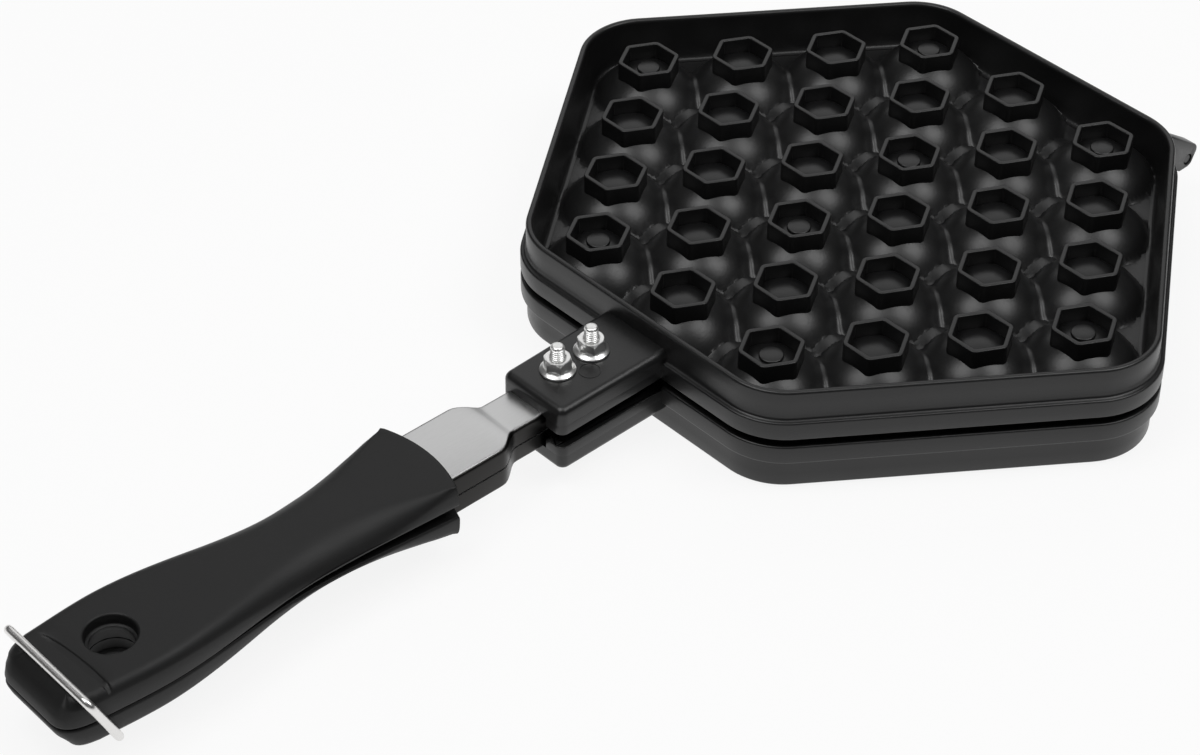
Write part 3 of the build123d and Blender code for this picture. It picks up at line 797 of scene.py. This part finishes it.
# (depth below the nut's top, radius): the chamfer over the hexagon's corners
NUT_CHAMFER = ((0.75, 4.1), (0.5, 3.86), (0.25, 3.62), (0.06, 3.42), (0.0, 3.25))
# (depth below the nut's top, radius): the countersink and the bore
NUT_BORE = ((0.0, 2.55), (0.1, 2.3), (0.4, 2.05), (0.8, 2.0))
HEAD_LOW, HEAD_HIGH = 1.8, 4.6
THREAD_PITCH = 0.7
# (height above the start of a turn, radius)
THREAD_SHAPE = ((0.0, 1.62), (0.22, 1.98), (0.34, 1.98), (0.56, 1.62))
# (depth below the bolt's end, radius)
BOLT_END = ((0.85, 1.72), (0.7, 1.9), (0.5, 1.86), (0.22, 1.68), (0.05, 1.4), (0.0, 1.1), (0.0, 0.02))


def hexagon(angle, corner):
    """Radius at each angle of a nut's hexagon, whose corners are cut at a radius."""
    return np.minimum(NUT_FLATS / 2 / np.cos(angle % (math.pi / 3) - math.pi / 6), corner)


def nut_shell():
    """Hexagonal flange nut with a coned flange and chamfered corners, its seat at height 0."""
    angle = np.linspace(0, 2 * math.pi, NUT_SEGMENTS, endpoint=False)
    sides, top = hexagon(angle, NUT_CORNER), NUT_TOP - TAB_TOP
    rows = [ring(angle, np.maximum(sides, radius), z) for z, radius in NUT_FLANGE]
    rows.append(ring(angle, sides, NUT_WAIST))
    rows += [ring(angle, np.minimum(sides, radius), top - depth) for depth, radius in NUT_CHAMFER]
    rows += [ring(angle, radius, top - depth) for depth, radius in NUT_BORE]
    rows.append(ring(angle, NUT_BORE[-1][1], 0.0))
    return loft(rows, capped=False, joined=True)


def bolt_shell(high):
    """Threaded shank with a rounded end, and the hexagonal head inside the neck."""
    profile = [(0.02, HEAD_HIGH - 0.2), (1.75, HEAD_HIGH - 0.2)]
    for z in np.arange(HEAD_HIGH, high - 0.95, THREAD_PITCH):
        profile += [(radius, z + rise) for rise, radius in THREAD_SHAPE]
    profile += [(radius, high - depth) for depth, radius in BOLT_END]
    angle = np.linspace(0, 2 * math.pi, 48, endpoint=False)
    sides = hexagon(angle, HEAD_CORNER)
    head = ((HEAD_LOW, 3.3), (HEAD_LOW + 0.3, 3.8), (HEAD_LOW + 0.5, 4.1), (HEAD_HIGH, 4.1))
    return [lathe(profile, steps=36), loft([ring(angle, np.minimum(sides, radius), z) for z, radius in head])]


# ---------------------------------------------------------------- node helpers


def add_node(tree, kind, **values):
    made = tree.nodes.new(kind)
    for key, value in values.items():
        setattr(made, key, value)
    return made


def put(node, **inputs):
    """Sets a node's inputs by name, with underscores for blanks."""
    for key, value in inputs.items():
        node.inputs[key.replace("_", " ")].default_value = value
    return node


def link(tree, source, output, target, entry):
    tree.links.new(source.outputs[output], target.inputs[entry])


def calculate(tree, operation, *ends):
    """A Math node fed by numbers or by (node, output); gives its own (node, output)."""
    made = add_node(tree, "ShaderNodeMath", operation=operation)
    for entry, end in enumerate(ends):
        if isinstance(end, tuple):
            link(tree, *end, made, entry)
        else:
            made.inputs[entry].default_value = end
    return made, 0


def new_tree(name, kind, inputs, outputs):
    """A node tree with its sockets, given as (name, type), and its two end nodes."""
    tree = bpy.data.node_groups.new(name, kind)
    for way, sockets in (("INPUT", inputs), ("OUTPUT", outputs)):
        for label, socket in sockets:
            tree.interface.new_socket(label, in_out=way, socket_type="NodeSocket" + socket)
    return tree, tree.nodes.new("NodeGroupInput"), tree.nodes.new("NodeGroupOutput")


def copies_at_points(tree, source, target, made, output):
    """Ends a tree: a copy of what was made at every point, made real and given its material."""
    place = tree.nodes.new("GeometryNodeInstanceOnPoints")
    real = tree.nodes.new("GeometryNodeRealizeInstances")
    paint = tree.nodes.new("GeometryNodeSetMaterial")
    link(tree, source, "Points", place, "Points")
    link(tree, made, output, place, "Instance")
    link(tree, place, 0, real, 0)
    link(tree, real, 0, paint, "Geometry")
    link(tree, source, "Material", paint, "Material")
    link(tree, paint, 0, target, "Geometry")


def apply_tree(name, base, tree, values):
    """Runs a node tree on a base mesh and keeps the result as a plain mesh object."""
    holder = bpy.data.objects.new(name + "_source", base)
    bpy.context.scene.collection.objects.link(holder)
    modifier = holder.modifiers.new("build", "NODES")
    modifier.node_group = tree
    for item in tree.interface.items_tree:
        if item.item_type == "SOCKET" and item.in_out == "INPUT" and item.name in values:
            modifier[item.identifier] = values[item.name]
    bpy.context.view_layer.update()
    result = holder.evaluated_get(bpy.context.evaluated_depsgraph_get())
    mesh = bpy.data.meshes.new_from_object(result)
    mesh.name = name
    bpy.data.objects.remove(holder)
    obj = bpy.data.objects.new(name, mesh)
    bpy.context.scene.collection.objects.link(obj)
    return obj


def foot_ring_tree():
    """A rounded hexagonal ring at every point, standing up from a root height."""
    sizes = ("Corner distance", "Wall", "Height", "Edge rounding", "Corner rounding")
    inputs = [("Points", "Geometry"), *[(size, "Float") for size in sizes], ("Material", "Material")]
    tree, source, target = new_tree("foot_rings", "GeometryNodeTree", inputs, [("Geometry", "Geometry")])
    hexagonal = put(add_node(tree, "GeometryNodeCurvePrimitiveCircle", mode="RADIUS"), Resolution=6)
    turn = put(tree.nodes.new("GeometryNodeTransform"), Rotation=(0.0, 0.0, math.radians(30)))
    corners = put(add_node(tree, "GeometryNodeFilletCurve", mode="POLY"), Count=4)
    section = tree.nodes.new("GeometryNodeCurvePrimitiveQuadrilateral")
    edges = put(add_node(tree, "GeometryNodeFilletCurve", mode="POLY"), Count=3)
    sweep = tree.nodes.new("GeometryNodeCurveToMesh")
    link(tree, source, "Corner distance", hexagonal, "Radius")
    link(tree, hexagonal, 0, turn, "Geometry")
    link(tree, turn, 0, corners, "Curve")
    link(tree, source, "Corner rounding", corners, "Radius")
    link(tree, source, "Wall", section, "Width")
    link(tree, source, "Height", section, "Height")
    link(tree, section, 0, edges, "Curve")
    link(tree, source, "Edge rounding", edges, "Radius")
    link(tree, corners, 0, sweep, "Curve")
    link(tree, edges, 0, sweep, "Profile Curve")
    copies_at_points(tree, source, target, sweep, 0)
    return tree


def stamp_tree():
    """One blank at every point."""
    inputs = (("Points", "Geometry"), ("Blank", "Object"), ("Material", "Material"))
    tree, source, target = new_tree("stamp", "GeometryNodeTree", inputs, [("Geometry", "Geometry")])
    blank = tree.nodes.new("GeometryNodeObjectInfo")
    link(tree, source, "Blank", blank, "Object")
    copies_at_points(tree, source, target, blank, "Geometry")
    return tree


def point_mesh(points):
    """A mesh of loose points, given in millimetres."""
    mesh = bpy.data.meshes.new("places")
    mesh.from_pydata((np.asarray(points) * MM).tolist(), [], [])
    return mesh


def stamped(name, blank, points, material, angle=SMOOTH):
    """Copies of a blank at points, as one plain mesh; the blank is removed."""
    tree = bpy.data.node_groups.get("stamp") or stamp_tree()
    obj = apply_tree(name, point_mesh(points), tree, {"Blank": blank, "Material": material})
    bpy.data.objects.remove(blank)
    return shade(obj, angle)


# ---------------------------------------------------------------- finishes


def grain_group():
    """Grain, cloudiness and fine relief shared by every finish."""
    existing = bpy.data.node_groups.get("surface_grain")
    if existing:
        return existing
    sizes = (
        "Grain scale", "Cloud scale", "Colour change", "Roughness", "Roughness change", "Relief",
        "Relief depth",
    )
    inputs = [("Vector", "Vector"), ("Colour", "Color"), *[(size, "Float") for size in sizes]]
    outputs = (("Colour", "Color"), ("Roughness", "Float"), ("Normal", "Vector"))
    tree, source, target = new_tree("surface_grain", "ShaderNodeTree", inputs, outputs)
    fine = put(add_node(tree, "ShaderNodeTexNoise"), Detail=3.0, Roughness=0.6)
    cloud = put(add_node(tree, "ShaderNodeTexNoise"), Detail=4.0, Roughness=0.55)
    for noise, scale in ((fine, "Grain scale"), (cloud, "Cloud scale")):
        link(tree, source, "Vector", noise, "Vector")
        link(tree, source, scale, noise, "Scale")
    centred = calculate(tree, "SUBTRACT", calculate(tree, "ADD", (fine, "Fac"), (cloud, "Fac")), 1.0)
    amount = calculate(tree, "MULTIPLY", centred, (source, "Colour change"))
    tint = add_node(tree, "ShaderNodeVectorMath", operation="SCALE")
    link(tree, source, "Colour", tint, 0)
    link(tree, *calculate(tree, "ADD", amount, 1.0), tint, "Scale")
    link(tree, tint, 0, target, "Colour")
    rough = calculate(tree, "MULTIPLY_ADD", centred, (source, "Roughness change"), (source, "Roughness"))
    link(tree, *rough, target, "Roughness")
    bump = tree.nodes.new("ShaderNodeBump")
    link(tree, source, "Relief", bump, "Strength")
    link(tree, source, "Relief depth", bump, "Distance")
    link(tree, fine, "Fac", bump, "Height")
    link(tree, bump, "Normal", target, "Normal")
    return tree


# a Mix node's sockets for colours
MIX_FIRST, MIX_SECOND, MIX_RESULT = 6, 7, 2
# painted shade: how upright a face's normal is where the painted dark colour of the sides is full, and where
# it ends
PAINTED_SHADE_FULL, PAINTED_SHADE_NONE = 0.84, 0.98


def finish(name, base, metallic=0.0, specular=0.5, stretch=(1.0, 1.0, 1.0), sides=None, **grain):
    """A material with the shared grain; stretch draws it out, sides is a painted shade colour on upright
    faces, standing in for shade and dark reflections.
    """
    existing = bpy.data.materials.get(name)
    if existing:
        return existing
    material = bpy.data.materials.new(name)
    material.use_nodes = True
    tree = material.node_tree
    shader = put(tree.nodes["Principled BSDF"], Metallic=metallic, Specular_IOR_Level=specular)
    place = tree.nodes.new("ShaderNodeTexCoord")
    mapping = put(tree.nodes.new("ShaderNodeMapping"), Scale=stretch)
    link(tree, place, "Object", mapping, "Vector")
    group = put(add_node(tree, "ShaderNodeGroup", node_tree=grain_group()), Colour=(*base, 1.0), **grain)
    link(tree, mapping, "Vector", group, "Vector")
    tone = (group, "Colour")
    # painted shade: faces whose object-space normal is upright get the dark sides colour, in place of shade
    # and dark reflections
    if sides:
        upright = tree.nodes.new("ShaderNodeSeparateXYZ")
        share = put(tree.nodes.new("ShaderNodeMapRange"), From_Min=PAINTED_SHADE_FULL, From_Max=PAINTED_SHADE_NONE)
        mix = add_node(tree, "ShaderNodeMix", data_type="RGBA")
        mix.inputs[MIX_FIRST].default_value = (*sides, 1.0)
        link(tree, place, "Normal", upright, 0)
        link(tree, *calculate(tree, "ABSOLUTE", (upright, "Z")), share, "Value")
        link(tree, share, "Result", mix, 0)
        link(tree, *tone, mix, MIX_SECOND)
        tone = (mix, MIX_RESULT)
    link(tree, *tone, shader, "Base Color")
    link(tree, group, "Roughness", shader, "Roughness")
    link(tree, group, "Normal", shader, "Normal")
    return material


def coating():
    return finish(
        "coating", bpy.context.scene.pan_finish.coating, Grain_scale=1500.0, Cloud_scale=30.0,
        Colour_change=0.35, Roughness=0.34, Roughness_change=0.12, Relief=0.4, Relief_depth=0.00006,
    )


def moulding():
    return finish(
        "black_moulding", bpy.context.scene.pan_finish.moulding, specular=0.36, Grain_scale=900.0,
        Cloud_scale=60.0, Colour_change=0.25, Roughness=0.5, Roughness_change=0.1, Relief=0.3,
        Relief_depth=0.00008,
    )


def neck_steel():
    # the sides colour is painted shade: the neck's side walls and most of its bends are painted near black,
    # in place of dark reflections
    return finish(
        "steel_pressing", bpy.context.scene.pan_finish.steel, metallic=1.0, stretch=(0.12, 1.0, 1.0),
        sides=(0.035, 0.034, 0.033), Grain_scale=2600.0, Cloud_scale=45.0, Colour_change=0.12, Roughness=0.34,
        Roughness_change=0.14, Relief=0.2, Relief_depth=0.00003,
    )


def zinc():
    return finish(
        "zinc", bpy.context.scene.pan_finish.zinc, metallic=1.0, Grain_scale=1600.0, Cloud_scale=200.0,
        Colour_change=0.2, Roughness=0.32, Roughness_change=0.14, Relief=0.15, Relief_depth=0.00003,
    )


def bolt_steel():
    return finish(
        "plated_bolt", bpy.context.scene.pan_finish.zinc, metallic=1.0, Grain_scale=1800.0, Cloud_scale=240.0,
        Colour_change=0.25, Roughness=0.36, Roughness_change=0.14, Relief=0.2, Relief_depth=0.00003,
    )


def pin_steel():
    return finish(
        "dark_pin", (0.10, 0.10, 0.10), metallic=1.0, Grain_scale=1500.0, Cloud_scale=150.0,
        Colour_change=0.3, Roughness=0.45, Roughness_change=0.14, Relief=0.2, Relief_depth=0.00003,
    )


def wire_steel():
    return finish(
        "bright_wire", bpy.context.scene.pan_finish.wire, metallic=1.0, Grain_scale=2200.0, Cloud_scale=150.0,
        Colour_change=0.1, Roughness=0.3, Roughness_change=0.1, Relief=0.1, Relief_depth=0.00002,
    )


# ---------------------------------------------------------------- operators

HALVES = (("upper", "upper_half", 1), ("lower", "lower_half", -1))
CAMERA_AT = (-0.5491, -0.4814, 0.5818)
CAMERA_AXES = ((0.7307, -0.6827, 0.0), (0.4440, 0.4752, 0.7596), (-0.5186, -0.5550, 0.6504))
CAMERA_LENS, CAMERA_SENSOR = 95.98, 36.0
FLOOR_REACH, FLOOR_DROP = 30.0, 0.0002
FLOOR_GLOW = 0.88  # share of plain white in what the camera and reflections see of the floor
EAR_WIDTH, KNUCKLE_WIDTH, HINGE_GAP = 5.0, 7.0, 0.3
RING_ROOT = 7.6
RING_EDGE, RING_CORNER = 0.3, 1.3
# (radius, height above the dome): the ejector bosses inside some of the foot rings
BOSS_PROFILE = ((3.4, -2.0), (3.4, 0.25), (3.3, 0.42), (3.1, 0.5), (0.6, 0.5))


class PAN_OT_stage(bpy.types.Operator):
    """Camera, floor, room light and lamps"""

    bl_idname = "waffle_pan.stage"
    bl_label = "Stage"

    def execute(self, context):
        settings = context.scene.pan_stage
        self.set_camera(context.scene)
        self.set_room(context.scene, settings)
        self.lay_floor(context.scene, settings)
        self.hang_lamps(context.scene, settings)
        return {"FINISHED"}

    def set_camera(self, scene):
        lens = bpy.data.cameras.new("camera")
        lens.lens = CAMERA_LENS
        lens.sensor_width = CAMERA_SENSOR
        lens.clip_start = 0.01
        camera = bpy.data.objects.new("camera", lens)
        camera.matrix_world = Matrix.Translation(CAMERA_AT) @ Matrix(CAMERA_AXES).transposed().to_4x4()
        scene.collection.objects.link(camera)
        scene.camera = camera
        scene.view_settings.view_transform = "Standard"

    def set_room(self, scene, settings):
        world = bpy.data.worlds.new("room")
        world.use_nodes = True
        background = world.node_tree.nodes["Background"]
        background.inputs["Color"].default_value = (1.0, 1.0, 1.0, 1.0)
        background.inputs["Strength"].default_value = settings.world
        scene.world = world

    def lay_floor(self, scene, settings):
        floor_mesh = bpy.data.meshes.new("floor")
        corners = [(x * FLOOR_REACH, y * FLOOR_REACH, 0.0) for x, y in ((-1, -1), (1, -1), (1, 1), (-1, 1))]
        floor_mesh.from_pydata(corners, [], [(0, 1, 2, 3)])
        floor = bpy.data.objects.new("floor", floor_mesh)
        floor.location.z = -FLOOR_DROP
        scene.collection.objects.link(floor)
        floor_mesh.materials.append(self.floor_material(settings))

    def hang_lamps(self, scene, settings):
        for name, place, size, energy in (
            ("left", (-0.542, 0.176, 1.168), (0.62, 0.62), settings.left),
            ("right", (0.325, -0.563, 1.126), (0.62, 0.62), settings.right),
            ("backdrop", (0.860, 0.922, 0.985), (1.6, 1.1), settings.back),
            ("top", (0.0, 0.0, 1.6), (1.2, 1.2), settings.top),
        ):
            light = bpy.data.lights.new(name, "AREA")
            light.shape = "RECTANGLE"
            light.size, light.size_y = size
            light.energy = energy
            lamp = bpy.data.objects.new(name, light)
            lamp.location = place
            lamp.rotation_euler = Vector(place).to_track_quat("Z", "Y").to_euler()
            scene.collection.objects.link(lamp)

    def floor_material(self, settings):
        """White to the camera and in reflections, plain and pale to the light, so that it keeps a shadow."""
        material = bpy.data.materials.new("floor")
        material.use_nodes = True
        tree = material.node_tree
        shader = put(tree.nodes["Principled BSDF"], Base_Color=(*settings.floor, 1.0), Roughness=0.8)
        glow = put(tree.nodes.new("ShaderNodeEmission"), Strength=1.0)
        path = tree.nodes.new("ShaderNodeLightPath")
        direct = calculate(tree, "MAXIMUM", (path, "Is Camera Ray"), (path, "Is Glossy Ray"))
        seen = calculate(tree, "MAXIMUM", direct, (path, "Is Transmission Ray"))
        mix = tree.nodes.new("ShaderNodeMixShader")
        link(tree, *calculate(tree, "MULTIPLY", seen, FLOOR_GLOW), mix, "Fac")
        link(tree, shader, 0, mix, 1)
        link(tree, glow, 0, mix, 2)
        link(tree, mix, 0, tree.nodes["Material Output"], "Surface")
        return material


class PAN_OT_castings(bpy.types.Operator):
    """Both castings, with their tabs and hinge ears"""

    bl_idname = "waffle_pan.castings"
    bl_label = "Castings"

    def execute(self, context):
        sizes = context.scene.pan_casting
        rim_x = mm(sizes.rim_x)
        shell = casting_shell(sizes)
        tab = tab_shell(rim_x)
        step = EAR_WIDTH / 2 + HINGE_GAP + KNUCKLE_WIDTH / 2
        ears = [side * (HINGE_Y + way * step) for side in (-1, 1) for way in (-1, 1)]
        hinges = {
            "upper": [ear_shell(rim_x, y, EAR_WIDTH) for y in ears],
            "lower": [ear_shell(rim_x, side * HINGE_Y, KNUCKLE_WIDTH) for side in (-1, 1)],
        }
        for half, body, flip in HALVES:
            placed = [(lifted(points, flip), faces) for points, faces in [shell, *tab, *hinges[half]]]
            obj = solid(half + "_casting", placed, coating())
            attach(obj, body)
            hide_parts(half + "_pan")
        return {"FINISHED"}


class PAN_OT_foot_rings(bpy.types.Operator):
    """Hexagonal foot rings and ejector bosses on the domes"""

    bl_idname = "waffle_pan.foot_rings"
    bl_label = "Foot rings"

    def execute(self, context):
        sizes = context.scene.pan_casting
        field = CellField(sizes)
        top = mm(sizes.ring_top)
        middles = np.full(len(field.cells), (RING_ROOT + top) / 2)
        tree = foot_ring_tree()
        ejectors = [field.rows[k][i] for k in (-3, 3) for i in (0, -1)]
        ejectors += [field.rows[0][0], field.rows[0][-1]]
        ejectors += [field.rows[k][2] for k in (-1, 1)]
        domes = np.full(len(ejectors), field.centre + field.radius)
        for half, body, flip in HALVES:
            places = lifted(np.column_stack([field.cells, middles]), flip)
            values = {
                "Corner distance": sizes.ring_corner, "Wall": sizes.ring_wall,
                "Height": (top - RING_ROOT) * MM,
                "Edge rounding": RING_EDGE * MM, "Corner rounding": RING_CORNER * MM, "Material": coating(),
            }
            rings = apply_tree(half + "_foot_rings", point_mesh(places), tree, values)
            shade(rings)
            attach(rings, body)
            points, faces = lathe(BOSS_PROFILE)
            blank = solid("boss", [(points * (1, 1, flip), faces)], coating())
            places = lifted(np.column_stack([ejectors, domes]), flip)
            bosses = stamped(half + "_bosses", blank, places, coating())
            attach(bosses, body)
        return {"FINISHED"}


class PAN_OT_necks(bpy.types.Operator):
    """Pressed steel necks"""

    bl_idname = "waffle_pan.necks"
    bl_label = "Necks"

    def execute(self, context):
        points, faces = neck_shell(context.scene.pan_handle)
        for half, body, flip in HALVES:
            placed = [(lifted(turned(points), flip), faces)]
            obj = solid(half + "_neck_sheet", placed, neck_steel(), NECK_SMOOTH)
            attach(obj, body)
            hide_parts(half + "_neck")
        return {"FINISHED"}


class PAN_OT_grips(bpy.types.Operator):
    """Moulded grips"""

    bl_idname = "waffle_pan.grips"
    bl_label = "Grips"

    def execute(self, context):
        for half, body, flip in HALVES:
            points, faces = grip_shell(context.scene.pan_handle, half == "lower")
            placed = [(lifted(turned(points), flip), faces)]
            obj = solid(half + "_grip_moulding", placed, moulding(), GRIP_SMOOTH)
            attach(obj, body)
            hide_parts(half + "_grip")
        return {"FINISHED"}


class PAN_OT_fasteners(bpy.types.Operator):
    """Bolts, flange nuts and hinge pins"""

    bl_idname = "waffle_pan.fasteners"
    bl_label = "Fasteners"

    def execute(self, context):
        for half, body, flip in HALVES:
            points, faces = nut_shell()
            blank = solid("nut", [(points * (1, 1, flip), faces)], zinc())
            places = lifted([(*place, TAB_TOP) for place in BOLTS], flip)
            nuts = stamped(half + "_nuts", blank, places, zinc(), NUT_SMOOTH)
            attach(nuts, body)
            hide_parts(half + "_nut_front", half + "_nut_rear")
            shells = [(points * (1, 1, flip), faces) for points, faces in bolt_shell(BOLT_TOPS[half])]
            blank = solid("bolt", shells, bolt_steel())
            places = lifted([(*place, 0.0) for place in BOLTS], flip)
            bolts = stamped(half + "_bolts", blank, places, bolt_steel())
            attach(bolts, body)
            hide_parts(half + "_bolt_front", half + "_bolt_rear")
        for side in ("left", "right"):
            node = frame["nodes"]["hinge_pin_" + side]
            node.data.materials.clear()
            node.data.materials.append(pin_steel())
        return {"FINISHED"}


class PAN_OT_lock_ring(bpy.types.Operator):
    """Wire lock ring"""

    bl_idname = "waffle_pan.lock_ring"
    bl_label = "Lock ring"

    def execute(self, context):
        node = frame["nodes"]["lock_ring"]
        node.data.materials.clear()
        node.data.materials.append(wire_steel())
        return {"FINISHED"}


class PAN_PT_sidebar(bpy.types.Panel):
    """Sizes, colours and the makers of each piece"""

    bl_label = "Waffle pan"
    bl_idname = "PAN_PT_sidebar"
    bl_space_type = "VIEW_3D"
    bl_region_type = "UI"
    bl_category = "Waffle pan"

    def draw(self, context):
        scene = context.scene
        for group in (scene.pan_casting, scene.pan_handle, scene.pan_finish, scene.pan_stage):
            box = self.layout.box()
            for key in group.__annotations__:
                box.prop(group, key)
        for operator in OPERATORS:
            self.layout.operator(operator.bl_idname)


OPERATORS = (
    PAN_OT_stage,
    PAN_OT_castings,
    PAN_OT_foot_rings,
    PAN_OT_necks,
    PAN_OT_grips,
    PAN_OT_fasteners,
    PAN_OT_lock_ring,
)
GROUPS = (CastingSizes, HandleSizes, FinishColours, StageSettings)
CLASSES = GROUPS + OPERATORS + (PAN_PT_sidebar,)


def register():
    for item in CLASSES:
        bpy.utils.register_class(item)
    bpy.types.Scene.pan_casting = PointerProperty(type=CastingSizes)
    bpy.types.Scene.pan_handle = PointerProperty(type=HandleSizes)
    bpy.types.Scene.pan_finish = PointerProperty(type=FinishColours)
    bpy.types.Scene.pan_stage = PointerProperty(type=StageSettings)


def unregister():
    for name in ("pan_casting", "pan_handle", "pan_finish", "pan_stage"):
        delattr(bpy.types.Scene, name)
    for item in reversed(CLASSES):
        bpy.utils.unregister_class(item)


def main():
    register()
    for operator in OPERATORS:
        family, name = operator.bl_idname.split(".")
        getattr(getattr(bpy.ops, family), name)()


if __name__ == "__main__":
    main()
